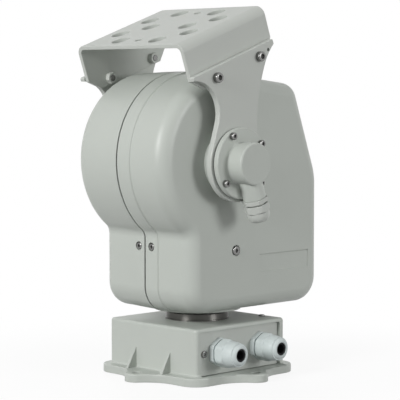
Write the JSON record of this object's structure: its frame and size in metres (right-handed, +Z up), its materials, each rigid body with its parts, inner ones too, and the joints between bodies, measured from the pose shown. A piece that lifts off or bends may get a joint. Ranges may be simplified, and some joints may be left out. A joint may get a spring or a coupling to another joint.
{
  "type": "pan and tilt head",
  "caption": "Outdoor pan and tilt head: flanged foot with cable glands, cast two-half body that pans, and a drilled platform on two arms that tilts.",
  "frame": {"origin": "pan axis at the underside of the foot", "axes": "+Z up the pan axis, -Y to the front of the body, X along the tilt axis with the cable elbow on the +X side"},
  "size_m": [0.1946, 0.2189, 0.3566],
  "materials": {
    "cast_paint": "semi-gloss light grey paint over a die casting",
    "sheet_paint": "semi-gloss light grey paint over plate",
    "chassis_alloy": "plain mill finish",
    "black_rubber": "matte",
    "stainless": "stainless fasteners",
    "polished_steel": "polished ring",
    "bearing_steel": "ground steel",
    "gland_nylon": "moulded nylon, bluish white",
    "elbow_nylon": "moulded nylon, light grey",
    "gear_brass": "cut teeth",
    "motor_black": "black motor enamel",
    "circuit_board": "green board with blocks",
    "switch_plastic": "moulded",
    "cam_nylon": "natural nylon"
  },
  "bodies": {
    "foot": {"foot_housing": "cast_paint", "foot_cover": "sheet_paint", "cover_gasket": "black_rubber", "cover_screws": "stainless", "gland_bodies": "gland_nylon", "gland_nuts": "gland_nylon", "gland_seals": "black_rubber", "gland_locknuts": "gland_nylon", "pan_collar": "polished_steel", "pan_shaft": "bearing_steel", "pan_shaft_screws": "stainless", "pan_gear": "gear_brass", "pan_shaft_nut": "stainless", "terminal_board": "circuit_board", "earth_screw": "stainless"},
    "pan_head": {"turntable": "cast_paint", "turntable_screws": "stainless", "pan_seal": "black_rubber", "pan_bearings": "bearing_steel", "right_shell": "cast_paint", "left_shell": "cast_paint", "shell_gasket": "black_rubber", "side_screws": "stainless", "seam_screws": "stainless", "seam_plates": "stainless", "chassis": "chassis_alloy", "pan_motor": "motor_black", "tilt_motor": "motor_black", "control_board": "circuit_board", "limit_switches": "switch_plastic", "tilt_bearings": "bearing_steel", "tilt_seals": "black_rubber"},
    "pan_pinion_body": {"pan_pinion": "bearing_steel"},
    "tilt_pinion_body": {"tilt_pinion": "bearing_steel"},
    "tilt_head": {"tilt_shaft": "bearing_steel", "tilt_gear": "gear_brass", "tilt_cam": "cam_nylon", "shaft_nuts": "stainless", "right_arm": "sheet_paint", "left_arm": "sheet_paint", "platform": "sheet_paint", "platform_screws": "stainless", "platform_nuts": "stainless", "right_hub_cap": "cast_paint", "left_hub_cap": "cast_paint", "hub_gaskets": "black_rubber", "hub_cap_screws": "stainless", "elbow_gland_body": "elbow_nylon", "elbow_gland_nut": "elbow_nylon", "elbow_gland_seal": "black_rubber"}
  },
  "joints": [
    {"name": "pan", "type": "hinge", "parent": "foot", "child": "pan_head", "pos_m": [0, 0, 0.06], "axis": [0, 0, 1], "range_deg": [-175, 175]},
    {"name": "tilt", "type": "hinge", "parent": "pan_head", "child": "tilt_head", "pos_m": [0, -0.0235, 0.2085], "axis": [1, 0, 0], "range_deg": [-49.5, 40.5]},
    {"name": "pan_pinion_spin", "type": "hinge", "parent": "pan_head", "child": "pan_pinion_body", "pos_m": [0, 0.0585, 0.11], "axis": [0, 0, 1], "range_deg": [-590, 590]},
    {"name": "tilt_pinion_spin", "type": "hinge", "parent": "pan_head", "child": "tilt_pinion_body", "pos_m": [-0.018, 0.044, 0.2085], "axis": [1, 0, 0], "range_deg": [-170, 205]}
  ],
  "couplings": [
    {"joint": "pan_pinion_spin", "follows": "pan", "ratio": 3.3333},
    {"joint": "tilt_pinion_spin", "follows": "tilt", "ratio": -4}
  ]
}
